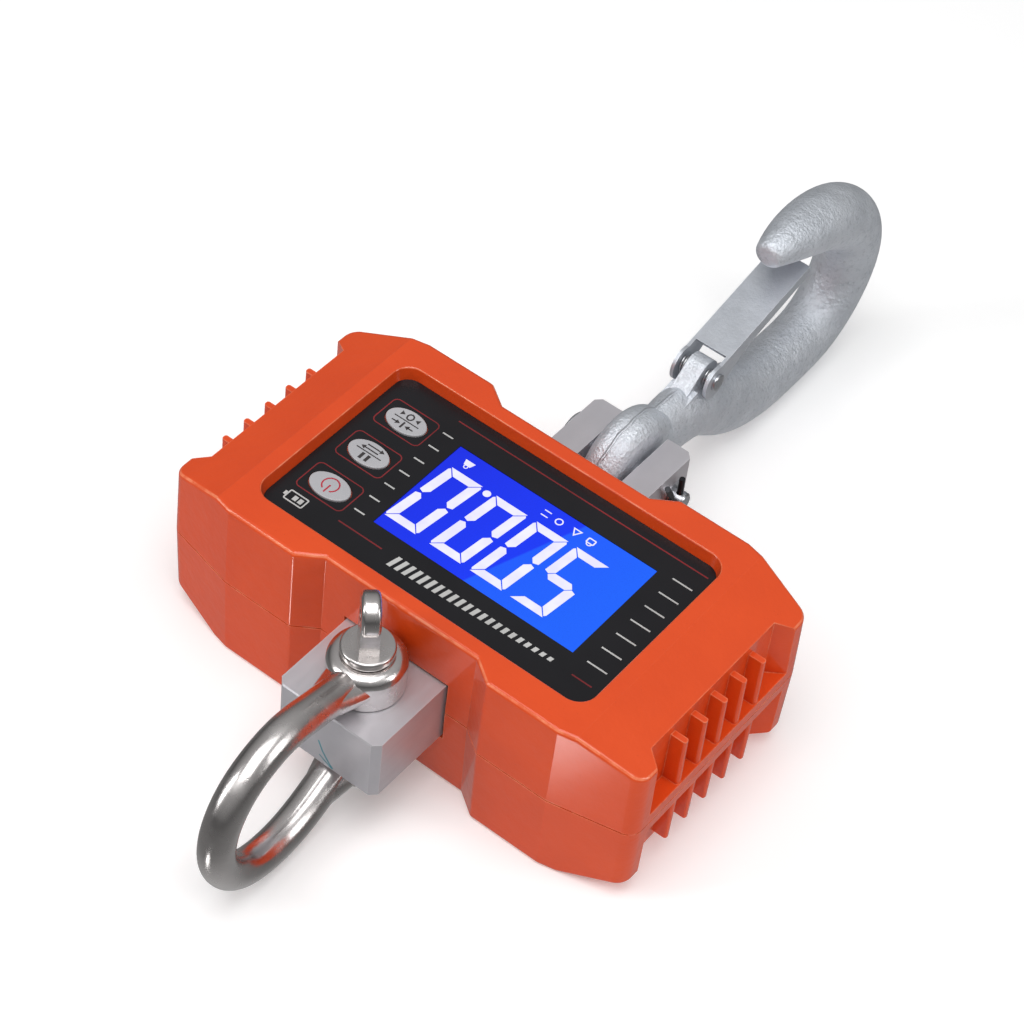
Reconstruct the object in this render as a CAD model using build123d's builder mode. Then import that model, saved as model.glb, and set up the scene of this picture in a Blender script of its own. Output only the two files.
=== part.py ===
"""Mini hanging scale: die-cast housing, load cell, bow shackle and swivel-free safety hook.

Frame: origin at the centre of the housing's back face, +Z out of the display,
+Y towards the shackle, +X towards the display's right-hand side. Millimetres.
"""
import os
from math import cos, radians, sin

from build123d import *

os.makedirs("parts", exist_ok=True)

# ---------------------------------------------------------------- driving dimensions
HOUSING_H = 65.9
PART_Z = HOUSING_H / 2
DRAFT = 1.1
HALF_L = 90.7
HALF_W = 49.2
SHOULDER_X = 62.9
CORNER_Y = 42.9
NOTCH_OUT_X = 36.7
NOTCH_IN_X = 28.7
NOTCH_Y = 43.6
SLOPE_X = 68.7
SLOPE_DROP = 7.5
WALL = 3.2
SEAM_H = 0.25
SEAM_DEPTH = 0.6

POCKET_HALF_W = 35.5
POCKET_DEPTH = 6.0
LEDGE_H = 4.0
RIB_W = 2.8
RIB_PITCH = 10.0
RIB_COUNT = 5
RIB_TOP_Z = 56.6

RECESS_L = 126.8
RECESS_W = 74.2
RECESS_DEPTH = 4.4
PANEL_Z = HOUSING_H - RECESS_DEPTH
PANEL_L = 124.6
PANEL_W = 72.0
PANEL_T = 1.0
FLOOR_Z = 58.2

LCD_X = -8.35
LCD_Y = -2.05
LCD_L = 76.7
LCD_W = 42.8

KEY_X = 48.9
KEY_Y = -1.2
KEY_PITCH = 18.5
KEY_L = 14.8
KEY_W = 9.8
KEY_GAP = 0.35
KEY_TRAVEL = 0.5
KEY_NAMES = ("key_tare", "key_hold", "key_power")

BLOCK_W = 38.8
BLOCK_H = 24.1
BLOCK_FRONT_Y = 75.4
BLOCK_REAR_Y = -84.7
BLOCK_CHAMFER = 2.4
BLOCK_GAP = 0.8
SLOT_W = 17.9
SLOT_DEPTH = 35.5

SHACKLE_Y = 57.5
SHACKLE_TURN = 2.4
SHACKLE_WIRE = 11.4
BOW_LENGTH = 69.3
BOW_WAIST = 42.7
BOW_HALF_H = 25.7
EYE_HALF_H = 19.6
EYE_DIA = 24.8
EYE_TOP = 58.4
SHACKLE_PIN_DIA = 11.0

HOOK_PIN_Y = -75.0
HOOK_PIN_DIA = 12.0
PIN_END_DIA = 7.0
EYE_RING_DIA = 43.0
EYE_RING_T = 14.0
# hook centre line from tip to eye, with the half depth and half width of the forging there
HOOK_LINE = [(-145, 78.2), (-156, 77.6), (-170, 75), (-185, 69.5), (-198, 59), (-204.5, 44), (-201, 27),
             (-187, 15), (-170, 13), (-153, 13.6), (-137, 18.6), (-122, 27.5), (-106, 34.5), (-90, 36)]
HOOK_DEPTH = [4.3, 7.6, 10.0, 11.4, 12.0, 12.6, 12.4, 12.4, 12.5, 12.9, 13.4, 12.2, 11.6, 13.0]
HOOK_WIDTH = [4.7, 7.8, 10.0, 10.9, 11.0, 10.8, 10.4, 10.2, 10.2, 10.2, 9.9, 9.4, 8.6, 6.6]

LATCH_Y = -113.4
LATCH_Z = 48.3
LATCH_W = 14.6
LATCH_T = 1.2
LATCH_TILT = 13.0
LATCH_LENGTH = 53.0
EAR_R = 6.3
LUG_W = 6.6
RIDGE_W = 10.0

BACK_FLOOR = 4.0
TRAY_X = 44.9
TRAY_L = 46.8
TRAY_W = 56.6
TRAY_TOP = 22.4
DOOR_T = 2.2
DOOR_L = 47.6
DOOR_W = 70.8
DOOR_SCREW_Y = 31.8
CELL_DIA = 14.2
CELL_L = 49.2
BOARD_Z = 50.0
BOARD_T = 1.6
CORNER_SCREW_X = 71.0
CORNER_SCREW_Y = 36.0
CELL_SCREW_Y = 30.0


# ---------------------------------------------------------------- shared helpers
def outline_face(plane, grow=0.0):
    """Plan outline of the housing, with the shallow notch in both long sides."""
    with BuildSketch(plane) as face:
        with BuildLine():
            Polyline(
                (HALF_L, 0),
                (HALF_L, CORNER_Y),
                (SHOULDER_X, HALF_W),
                (NOTCH_OUT_X, HALF_W),
                (NOTCH_IN_X, NOTCH_Y),
                (0, NOTCH_Y),
            )
            mirror(about=Plane.YZ)
            mirror(about=Plane.XZ)
        make_face()
        if grow:
            offset(amount=grow, kind=Kind.INTERSECTION)
    return face.sketch


def block(length, width, height, x, y, z, mode=Mode.ADD):
    """Box whose centre is at x, y and whose bottom is at z."""
    with Locations((x, y, z + height / 2)):
        Box(length, width, height, mode=mode)


def post(radius, height, x, y, z, mode=Mode.ADD):
    """Upright cylinder standing on height z."""
    with Locations((x, y, z + height / 2)):
        Cylinder(radius, height, mode=mode)


def save(built, label):
    """Name the part and write its file."""
    built.part.label = label
    export_step(built.part, f"parts/{label}.step")


# ---------------------------------------------------------------- common half of the two shells
with BuildPart() as shell_half:
    extrude(outline_face(Plane.XY.offset(PART_Z)), amount=HOUSING_H - PART_Z, taper=DRAFT)
    # sloped ends of the broad face
    with BuildSketch(Plane.XZ):
        with BuildLine():
            Polyline(
                (SLOPE_X, HOUSING_H),
                (SLOPE_X + 40, HOUSING_H - 40 * SLOPE_DROP / 21.5),
                (SLOPE_X + 40, HOUSING_H + 5),
                (SLOPE_X, HOUSING_H + 5),
                close=True,
            )
        make_face()
        mirror(about=Plane.YZ)
    extrude(amount=60, both=True, mode=Mode.SUBTRACT)
    # rounded outside corners
    uprights = edges().filter_by(lambda e: abs(e.tangent_at(0.5).Z) > 0.9)
    fillet(uprights.filter_by(lambda e: abs(e.center().X) > 80), radius=5.0)
    uprights = edges().filter_by(lambda e: abs(e.tangent_at(0.5).Z) > 0.9 and e.length > 20)
    fillet(uprights.filter_by(lambda e: abs(e.center().X) < 70), radius=2.0)
    rim = edges().filter_by(lambda e: e.center().Z > 57 and abs(e.tangent_at(0.5).Z) < 0.6)
    crease = rim.filter_by(lambda e: abs(abs(e.center().X) - SLOPE_X) < 0.5 and abs(e.center().Y) < 5)
    fillet(rim.filter_by(lambda e: e not in crease), radius=1.6)
    # pockets in both ends
    with BuildSketch(Plane.XY.offset(PART_Z + LEDGE_H)):
        with BuildLine():
            Polyline(
                (HALF_L + 1, POCKET_HALF_W + 1),
                (HALF_L - POCKET_DEPTH, POCKET_HALF_W - 4),
                (HALF_L - POCKET_DEPTH, -POCKET_HALF_W + 4),
                (HALF_L + 1, -POCKET_HALF_W - 1),
                close=True,
            )
        make_face()
        mirror(about=Plane.YZ)
    extrude(amount=40, mode=Mode.SUBTRACT)
    # cooling-fin style ribs inside the pockets
    with BuildSketch(Plane.XY.offset(PART_Z)):
        for side in (-1, 1):
            with Locations((side * (HALF_L - POCKET_DEPTH / 2 - 0.9), 0)):
                with GridLocations(1, RIB_PITCH, 1, RIB_COUNT):
                    RectangleRounded(POCKET_DEPTH + 1.0, RIB_W, 1.2)
    extrude(amount=RIB_TOP_Z - PART_Z, taper=0.8)
    # hollow inside
    with BuildSketch(Plane.XY.offset(PART_Z)):
        add(outline_face(Plane.XY, grow=-WALL))
        Rectangle(2 * (HALF_L - POCKET_DEPTH - WALL), 120, mode=Mode.INTERSECT)
    extrude(amount=FLOOR_Z - PART_Z, taper=DRAFT, mode=Mode.SUBTRACT)
    # fine reveal along the parting line
    with BuildSketch(Plane.XY.offset(PART_Z)):
        add(outline_face(Plane.XY, grow=1.0))
        add(outline_face(Plane.XY, grow=-SEAM_DEPTH), mode=Mode.SUBTRACT)
    extrude(amount=SEAM_H, mode=Mode.SUBTRACT)
    # opening for the load cell in both notch walls
    block(BLOCK_W + 2 * BLOCK_GAP, 120, BLOCK_H / 2 + BLOCK_GAP + 1, 0, 0, PART_Z - 1, mode=Mode.SUBTRACT)


# ---------------------------------------------------------------- front shell
def corner_points(x, y):
    """Four points mirrored about both middle lines."""
    return [(x, y), (-x, y), (-x, -y), (x, -y)]


BOARD_SCREWS = corner_points(57.0, 29.0)
CORNER_SCREWS = corner_points(CORNER_SCREW_X, CORNER_SCREW_Y)
KEY_POINTS = [(KEY_X, KEY_Y + KEY_PITCH * step) for step in (-1, 0, 1)]

with BuildPart() as front_shell:
    add(shell_half.part)
    with Locations(*[(x, y, (PART_Z + FLOOR_Z) / 2) for x, y in CORNER_SCREWS]):
        Cylinder(4.8, FLOOR_Z - PART_Z)
    with Locations(*[(x, y, (BOARD_Z + BOARD_T + FLOOR_Z) / 2) for x, y in BOARD_SCREWS]):
        Cylinder(3.4, FLOOR_Z - BOARD_Z - BOARD_T)
    # display recess with flared walls, and the seat of the panel
    with BuildSketch(Plane.XY.offset(PANEL_Z)):
        RectangleRounded(PANEL_L + 0.2, PANEL_W + 0.2, 5.5)
    extrude(amount=RECESS_DEPTH + 0.2, taper=-12.8, mode=Mode.SUBTRACT)
    with BuildSketch(Plane.XY.offset(PANEL_Z - PANEL_T)):
        RectangleRounded(PANEL_L + 0.2, PANEL_W + 0.2, 5.5)
    extrude(amount=PANEL_T + 0.1, mode=Mode.SUBTRACT)
    block(LCD_L + 3.3, LCD_W + 3.2, 5, LCD_X, LCD_Y, FLOOR_Z - 1, mode=Mode.SUBTRACT)
    with Locations(*[(x, y, FLOOR_Z) for x, y in KEY_POINTS]):
        Cylinder(3.35, 8, mode=Mode.SUBTRACT)
    with Locations(*[(x, y, PART_Z + 8) for x, y in CORNER_SCREWS]):
        Cylinder(2.05, 16.2, mode=Mode.SUBTRACT)
    with Locations(*[(x, y, 54.5) for x, y in BOARD_SCREWS]):
        Cylinder(1.5, 6, mode=Mode.SUBTRACT)
    lip = edges().filter_by(lambda e: abs(e.center().Z - HOUSING_H) < 0.05 and abs(e.center().X) < 64)
    lip = lip.filter_by(lambda e: abs(e.center().Y) < 37.6)
    fillet(lip, radius=0.7)
save(front_shell, "front_shell")

# ---------------------------------------------------------------- rear shell
with BuildPart() as rear_shell:
    mirror(shell_half.part, about=Plane.XY.offset(PART_Z))
    with BuildSketch(Plane.XY.offset(BACK_FLOOR)):
        add(outline_face(Plane.XY, grow=-WALL - 0.6))
        Rectangle(2 * SLOPE_X + 2, 120, mode=Mode.INTERSECT)
    extrude(amount=5, mode=Mode.SUBTRACT)
    with Locations(*[(x, y, (PART_Z + 5) / 2) for x, y in CORNER_SCREWS]):
        Cylinder(4.8, PART_Z - 5)
    for x in (-10, 10):
        post(6.0, PART_Z - BLOCK_H / 2 - BACK_FLOOR + 1, x, CELL_SCREW_Y, BACK_FLOOR - 1)
    for y in (-DOOR_SCREW_Y, DOOR_SCREW_Y):
        post(3.2, 8, TRAY_X, y, BACK_FLOOR - 1)
    # battery opening and the seat of its cover
    block(DOOR_L, DOOR_W, 2.6, TRAY_X, 0, 0, mode=Mode.SUBTRACT)
    block(TRAY_L - 3.0, TRAY_W - 3.0, 9, TRAY_X, 0, 0, mode=Mode.SUBTRACT)
    # screw holes
    with Locations(*[(x, y, 0) for x, y in CORNER_SCREWS]):
        Cylinder(4.2, 24, mode=Mode.SUBTRACT)
        Cylinder(2.25, 80, mode=Mode.SUBTRACT)
    with Locations((-10, CELL_SCREW_Y, 0), (10, CELL_SCREW_Y, 0)):
        Cylinder(4.1, 10, mode=Mode.SUBTRACT)
        Cylinder(2.15, 60, mode=Mode.SUBTRACT)
    with Locations((TRAY_X, -DOOR_SCREW_Y, 5.5), (TRAY_X, DOOR_SCREW_Y, 5.5)):
        Cylinder(1.3, 8, mode=Mode.SUBTRACT)
    # groove for the seal
    with BuildSketch(Plane.XY.offset(PART_Z - 1.2)):
        add(outline_face(Plane.XY, grow=-1.6))
        add(outline_face(Plane.XY, grow=-2.7), mode=Mode.SUBTRACT)
    extrude(amount=1.3, mode=Mode.SUBTRACT)
save(rear_shell, "rear_shell")

with BuildPart() as shell_gasket:
    with BuildSketch(Plane.XY.offset(PART_Z - 1.2)):
        add(outline_face(Plane.XY, grow=-1.65))
        add(outline_face(Plane.XY, grow=-2.65), mode=Mode.SUBTRACT)
    extrude(amount=1.2)
    block(BLOCK_W + 2 * BLOCK_GAP + 1.0, 120, 4, 0, 0, PART_Z - 2, mode=Mode.SUBTRACT)
save(shell_gasket, "shell_gasket")

with BuildPart() as shell_screws:
    for x, y in CORNER_SCREWS:
        post(3.8, 3.6, x, y, 8.4)
        post(2.0, 28, x, y, 12.0)
        with Locations((x, y, 8.4)):
            Box(5.0, 1.0, 2.4, mode=Mode.SUBTRACT)
            Box(1.0, 5.0, 2.4, mode=Mode.SUBTRACT)
save(shell_screws, "shell_screws")

# ---------------------------------------------------------------- panel, display and keys
with BuildPart() as panel_overlay:
    with BuildSketch(Plane.XY.offset(PANEL_Z - PANEL_T)):
        RectangleRounded(PANEL_L, PANEL_W, 5.4)
        with Locations((LCD_X, LCD_Y)):
            Rectangle(LCD_L, LCD_W, mode=Mode.SUBTRACT)
        with Locations(*KEY_POINTS):
            Ellipse(KEY_L / 2 + KEY_GAP, KEY_W / 2 + KEY_GAP, mode=Mode.SUBTRACT)
    extrude(amount=PANEL_T)
save(panel_overlay, "panel_overlay")

with BuildPart() as lcd_glass:
    block(LCD_L - 0.3, LCD_W - 0.3, 1.6, LCD_X, LCD_Y, PANEL_Z - 1.75)
save(lcd_glass, "lcd_glass")

with BuildPart() as lcd_module:
    block(LCD_L + 9, LCD_W + 9, FLOOR_Z - BOARD_Z - BOARD_T, LCD_X, LCD_Y, BOARD_Z + BOARD_T)
    block(LCD_L + 2.6, LCD_W + 2.6, PANEL_Z - 1.75 - FLOOR_Z + 1, LCD_X, LCD_Y, FLOOR_Z - 1)
save(lcd_module, "lcd_module")

for name, (x, y) in zip(KEY_NAMES, KEY_POINTS):
    with BuildPart() as key:
        with BuildSketch(Plane.XY.offset(PANEL_Z - 0.4)):
            with Locations((x, y)):
                Ellipse(KEY_L / 2, KEY_W / 2)
        extrude(amount=0.9)
        fillet(faces().sort_by(Axis.Z)[-1].edges(), radius=0.35)
        post(3.0, PANEL_Z - 0.4 - 53.9, x, y, 53.9)
        post(4.4, 0.8, x, y, FLOOR_Z - 1.1)
    save(key, name)

with BuildPart() as tact_switches:
    for x, y in KEY_POINTS:
        block(6.2, 6.2, 1.4, x, y, BOARD_Z + BOARD_T)
        post(1.7, 0.35, x, y, BOARD_Z + BOARD_T + 1.4)
save(tact_switches, "tact_switches")

# ---------------------------------------------------------------- electronics
with BuildPart() as main_board:
    block(120, 64, BOARD_T, 0, 0, BOARD_Z)
    with Locations(*[(x, y, BOARD_Z) for x, y in BOARD_SCREWS]):
        Cylinder(1.6, 6, mode=Mode.SUBTRACT)
save(main_board, "main_board")

with BuildPart() as board_chips:
    block(12, 12, 1.6, -30, 8, BOARD_Z - 1.6)
    block(9, 6, 1.4, -10, -14, BOARD_Z - 1.4)
    block(7, 5, 1.4, 8, -18, BOARD_Z - 1.4)
    block(14, 5, 4.0, 34, 16, BOARD_Z - 4.0)
save(board_chips, "board_chips")

with BuildPart() as buzzer:
    post(6.0, 5.5, -42, -16, BOARD_Z - 5.5)
    post(1.2, 1.0, -42, -16, BOARD_Z - 5.6, mode=Mode.SUBTRACT)
save(buzzer, "buzzer")

with BuildPart() as board_screws:
    for x, y in BOARD_SCREWS:
        post(2.6, 1.8, x, y, BOARD_Z - 1.8)
        post(1.45, 7.0, x, y, BOARD_Z)
save(board_screws, "board_screws")

# ---------------------------------------------------------------- load cell
LOW_Z = PART_Z - BLOCK_H / 2
with BuildPart() as load_cell:
    block(BLOCK_W, BLOCK_FRONT_Y - BLOCK_REAR_Y, BLOCK_H, 0, (BLOCK_FRONT_Y + BLOCK_REAR_Y) / 2, LOW_Z)
    chamfer(edges().filter_by(Axis.Z), length=BLOCK_CHAMFER)
    chamfer(edges().filter_by(Axis.X).filter_by(lambda e: abs(e.center().Y) > 70), length=0.4)
    # jaw for the hook eye
    block(SLOT_W, SLOT_DEPTH, BLOCK_H + 2, 0, BLOCK_REAR_Y + SLOT_DEPTH / 2, LOW_Z - 1, mode=Mode.SUBTRACT)
    with Locations((0, HOOK_PIN_Y, PART_Z)):
        Cylinder(HOOK_PIN_DIA / 2 + 0.05, 60, rotation=(0, 90, 0), mode=Mode.SUBTRACT)
    with Locations((0, SHACKLE_Y, PART_Z)):
        Cylinder(6.2, 40, mode=Mode.SUBTRACT)
    # gauge pockets with a rebate for their covers
    for side in (-1, 1):
        block(14, 28, 12, side * (BLOCK_W / 2 + 1), 0, PART_Z - 6, mode=Mode.SUBTRACT)
        block(3, 31, 15, side * (BLOCK_W / 2 + 0.3), 0, PART_Z - 7.5, mode=Mode.SUBTRACT)
    with Locations((-10, CELL_SCREW_Y, LOW_Z), (10, CELL_SCREW_Y, LOW_Z)):
        Cylinder(2.05, 22, mode=Mode.SUBTRACT)
save(load_cell, "load_cell")

with BuildPart() as cell_screws:
    for x in (-10, 10):
        post(3.7, 4.0, x, CELL_SCREW_Y, 1.0)
        post(2.0, 26, x, CELL_SCREW_Y, 5.0)
        block(4.6, 0.9, 1.4, x, CELL_SCREW_Y, 0.9, mode=Mode.SUBTRACT)
save(cell_screws, "cell_screws")

with BuildPart() as strain_gauges:
    for side in (-1, 1):
        for y in (-6, 6):
            block(0.3, 7, 4, side * (BLOCK_W / 2 - 5.85), y, PART_Z - 2)
save(strain_gauges, "strain_gauges")

with BuildPart() as gauge_covers:
    for side in (-1, 1):
        block(1.1, 30.8, 14.8, side * (BLOCK_W / 2 - 0.6), 0, PART_Z - 7.4)
        with Locations((side * BLOCK_W / 2, 10, PART_Z)):
            Cylinder(1.0, 6, rotation=(0, 90, 0), mode=Mode.SUBTRACT)
save(gauge_covers, "gauge_covers")


def lead(side):
    """Cable from one gauge pocket to the board's connector side."""
    start = (side * (BLOCK_W / 2 - 2.0), 10, PART_Z)
    with BuildPart() as wire:
        with BuildLine():
            Spline(start, (side * 27, 12, PART_Z + 4), (side * 30, 14, BOARD_Z - 4.2),
                   tangents=[(side, 0, 0), (0, 0, 1)])
        with BuildSketch(Plane(origin=start, z_dir=(side, 0, 0))):
            Circle(0.8)
        sweep()
    return wire.part


with BuildPart() as gauge_leads:
    add(lead(-1))
    add(lead(1))
save(gauge_leads, "gauge_leads")

# ---------------------------------------------------------------- battery bay
with BuildPart() as battery_tray:
    block(TRAY_L, TRAY_W, TRAY_TOP - BACK_FLOOR, TRAY_X, 0, BACK_FLOOR)
    hollow_h = TRAY_TOP - BACK_FLOOR
    block(TRAY_L - 3.0, TRAY_W - 3.0, hollow_h, TRAY_X, 0, BACK_FLOOR - 1.5, mode=Mode.SUBTRACT)
    for step in (-1, 1):
        block(0.5, TRAY_W - 3.0, 5.0, TRAY_X + step * 7.3, 0, TRAY_TOP - 6.3)
save(battery_tray, "battery_tray")

CELL_X = [TRAY_X + step * 14.6 for step in (-1, 0, 1)]
with BuildPart() as batteries:
    for x in CELL_X:
        with Locations((x, -0.6, 11.6)):
            Cylinder(CELL_DIA / 2 - 0.1, CELL_L, rotation=(90, 0, 0))
        with Locations((x, 24.6, 11.6)):
            Cylinder(2.7, 1.2, rotation=(90, 0, 0))
save(batteries, "batteries")

with BuildPart() as battery_contacts:
    for x in CELL_X:
        for side in (-1, 1):
            block(9, 0.4, 9, x, side * (TRAY_W / 2 - 1.7), 7.1)
        with Locations((x, -(TRAY_W / 2 - 1.9 + 25.2) / 2, 11.6)):
            Cone(3.6, 2.2, TRAY_W / 2 - 1.9 - 25.2, rotation=(-90, 0, 0))
save(battery_contacts, "battery_contacts")

with BuildPart() as battery_door:
    block(DOOR_L - 0.8, DOOR_W - 0.8, DOOR_T, TRAY_X, 0, 0.3)
    fillet(edges().filter_by(Axis.Z), radius=1.5)
    chamfer(faces().sort_by(Axis.Z)[0].edges(), length=0.4)
    for y in (-8, -4, 0, 4, 8):
        with Locations((TRAY_X + 14, y, 0.3)):
            Box(14, 1.2, 0.8, mode=Mode.SUBTRACT)
    for y in (-DOOR_SCREW_Y, DOOR_SCREW_Y):
        post(2.7, 1.4, TRAY_X, y, 0.2, mode=Mode.SUBTRACT)
        post(1.45, 5, TRAY_X, y, 0, mode=Mode.SUBTRACT)
save(battery_door, "battery_door")

with BuildPart() as door_screws:
    for y in (-DOOR_SCREW_Y, DOOR_SCREW_Y):
        post(2.4, 1.2, TRAY_X, y, 0.4)
        post(1.25, 7.0, TRAY_X, y, 1.6)
        block(3.4, 0.6, 0.6, TRAY_X, y, 0.3, mode=Mode.SUBTRACT)
save(door_screws, "door_screws")

# ---------------------------------------------------------------- shackle
turn = radians(SHACKLE_TURN)
BOW_PLANE = Plane(
    origin=(0, SHACKLE_Y, PART_Z),
    x_dir=(-sin(turn), cos(turn), 0),
    z_dir=(cos(turn), sin(turn), 0),
)
# reach along the bow, height off the middle, half width and half height of the shoulder there
SHOULDER = [(5.0, 18.3, 9.2, 5.0), (13.0, 19.5, 7.6, 5.1), (22.0, 21.9, 5.3, 5.3)]
EYE_LEN = EYE_TOP - PART_Z - BLOCK_H / 2 - 0.4
with BuildPart() as shackle_eyes:
    for up in (-1, 1):
        with Locations((0, SHACKLE_Y, PART_Z + up * (BLOCK_H / 2 + 0.4 + EYE_LEN / 2))):
            Cylinder(EYE_DIA / 2, EYE_LEN)
    fillet(edges().sort_by(Axis.Z)[0], radius=1.2)
    fillet(edges().filter_by(GeomType.CIRCLE).sort_by(Axis.Z)[-1], radius=3.6)


def shoulder(up):
    """Flattened swelling where the round bar runs into an eye."""
    with BuildPart() as swelling:
        for reach, height, half_w, half_h in SHOULDER:
            centre = BOW_PLANE.from_local_coords((reach, up * height, 0))
            with BuildSketch(Plane(origin=centre, x_dir=BOW_PLANE.z_dir, z_dir=BOW_PLANE.x_dir)):
                Ellipse(half_w, half_h)
        loft()
    return swelling.part


with BuildPart() as shackle_bow:
    with BuildLine(BOW_PLANE) as bow_line:
        bend = (BOW_WAIST + 17.3, -0.76 * BOW_HALF_H)
        lower = [(7.3, -EYE_HALF_H), (26, -23.0), (BOW_WAIST, -BOW_HALF_H), bend]
        upper = [(x, -y) for x, y in reversed(lower)]
        Spline(*lower, (BOW_LENGTH, 0), *upper, tangents=[(1, -0.15), (-1, -0.15)])
    with BuildSketch(Plane(origin=bow_line.wire() @ 0, z_dir=bow_line.wire() % 0)):
        Circle(SHACKLE_WIRE / 2)
    sweep()
    add(shackle_eyes.part)
    add(shoulder(1))
    add(shoulder(-1))
    post(SHACKLE_PIN_DIA / 2 + 0.3, 40, 0, SHACKLE_Y, PART_Z, mode=Mode.SUBTRACT)
    post(SHACKLE_PIN_DIA / 2 + 0.05, 40, 0, SHACKLE_Y, PART_Z - 40, mode=Mode.SUBTRACT)
save(shackle_bow, "shackle_bow")

grip = radians(42)
GRIP_PLANE = Plane(
    origin=(0, SHACKLE_Y, 75.8),
    x_dir=(-sin(grip), cos(grip), 0),
    z_dir=(cos(grip), sin(grip), 0),
)
with BuildPart() as shackle_pin:
    post(SHACKLE_PIN_DIA / 2, EYE_TOP + 0.4 - 2.6, 0, SHACKLE_Y, 2.6)
    chamfer(faces().sort_by(Axis.Z)[0].edges(), length=0.8)
    post(8.5, 3.2, 0, SHACKLE_Y, EYE_TOP + 0.4)
    fillet(edges().filter_by(GeomType.CIRCLE).filter_by(lambda e: e.radius > 8), radius=0.9)
    with BuildSketch(GRIP_PLANE):
        Circle(7.0)
        with Locations((0, -7.4)):
            Rectangle(9.6, 14.0)
    extrude(amount=3.0, both=True)
    fillet(edges().filter_by(GeomType.CIRCLE).filter_by(lambda e: abs(e.radius - 7.0) < 0.01), radius=1.6)
    with Locations(GRIP_PLANE):
        Cylinder(2.4, 10, mode=Mode.SUBTRACT)
save(shackle_pin, "shackle_pin")

# ---------------------------------------------------------------- hook pin and its clip
with BuildPart() as hook_pin:
    with Locations((1.15, HOOK_PIN_Y, PART_Z)):
        Cylinder(HOOK_PIN_DIA / 2, 41.7, rotation=(0, 90, 0))
    with Locations((BLOCK_W / 2 + 1.5, HOOK_PIN_Y, PART_Z)):
        Cylinder(8.5, 2.6, rotation=(0, 90, 0))
    with Locations((-21.7, HOOK_PIN_Y, PART_Z)):
        Cylinder(PIN_END_DIA / 2, 5.4, rotation=(0, 90, 0))
    chamfer(edges().filter_by(GeomType.CIRCLE).filter_by(lambda e: abs(e.center().X) > 21), length=0.6)
    with Locations((-21.9, HOOK_PIN_Y, PART_Z)):
        Cylinder(1.2, 30, mode=Mode.SUBTRACT)
save(hook_pin, "hook_pin")

CLIP_PLANE = Plane(origin=(-21.9, HOOK_PIN_Y, PART_Z), x_dir=(0, 0, -1), z_dir=(1, 0, 0))
with BuildPart() as hook_clip:
    with BuildLine(CLIP_PLANE) as clip_line:
        FilletPolyline((-10.0, 0), (12.0, 0), (12.0, 5.6), (4.5, 4.4), (0, 6.0), (-4.5, 4.4), (-12.0, 8.6),
                       radius=1.8)
    with BuildSketch(Plane(origin=clip_line.wire() @ 0, z_dir=clip_line.wire() % 0)):
        Circle(1.0)
    sweep()
save(hook_clip, "hook_clip")

# ---------------------------------------------------------------- hook
with BuildPart() as eye_ring:
    with Locations((0, HOOK_PIN_Y, PART_Z)):
        Cylinder(EYE_RING_DIA / 2, EYE_RING_T, rotation=(0, 90, 0))
    fillet(edges().filter_by(GeomType.CIRCLE), radius=5.4)

with BuildPart() as hook_body:
    with BuildLine() as spine:
        Spline(*[(0, y, z) for y, z in HOOK_LINE])
    for (y, z), depth, width in zip(HOOK_LINE, HOOK_DEPTH, HOOK_WIDTH):
        place = spine.edge().param_at_point((0, y, z))
        with BuildSketch(Plane(origin=(0, y, z), x_dir=(1, 0, 0), z_dir=spine.edge().tangent_at(place))):
            Ellipse(width, depth)
    loft()
    nose = faces().filter_by(lambda f: f.center().Z > 70 and f.area < 200).sort_by(Axis.Y)[-1]
    fillet(nose.edges(), radius=2.6)
    add(eye_ring.part)
    # ridge from the eye up to the latch, narrower where the latch's ears straddle it
    with BuildSketch(Plane.YZ.offset(-RIDGE_W / 2)):
        with BuildLine():
            Polyline((LATCH_Y + 7.2, 47.0), (LATCH_Y + 7.2, 36), (LATCH_Y + 26, 36),
                     (LATCH_Y + 22.5, 44.5), (LATCH_Y + 13, 45.6), close=True)
        make_face()
    extrude(amount=RIDGE_W)
    with BuildSketch(Plane.YZ.offset(-LUG_W / 2)):
        with Locations((LATCH_Y, LATCH_Z)):
            Circle(5.9)
        with BuildLine():
            Polyline((LATCH_Y - 5.9, LATCH_Z), (LATCH_Y - 10, 36), (LATCH_Y + 14, 36),
                     (LATCH_Y + 12, 46), (LATCH_Y + 3, LATCH_Z + 5.0), close=True)
        make_face()
    extrude(amount=LUG_W)
    with Locations((0, HOOK_PIN_Y, PART_Z)):
        Cylinder(HOOK_PIN_DIA / 2 + 0.4, 60, rotation=(0, 90, 0), mode=Mode.SUBTRACT)
    with Locations((0, LATCH_Y, LATCH_Z)):
        Cylinder(1.88, 30, rotation=(0, 90, 0), mode=Mode.SUBTRACT)
save(hook_body, "hook_body")

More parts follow.
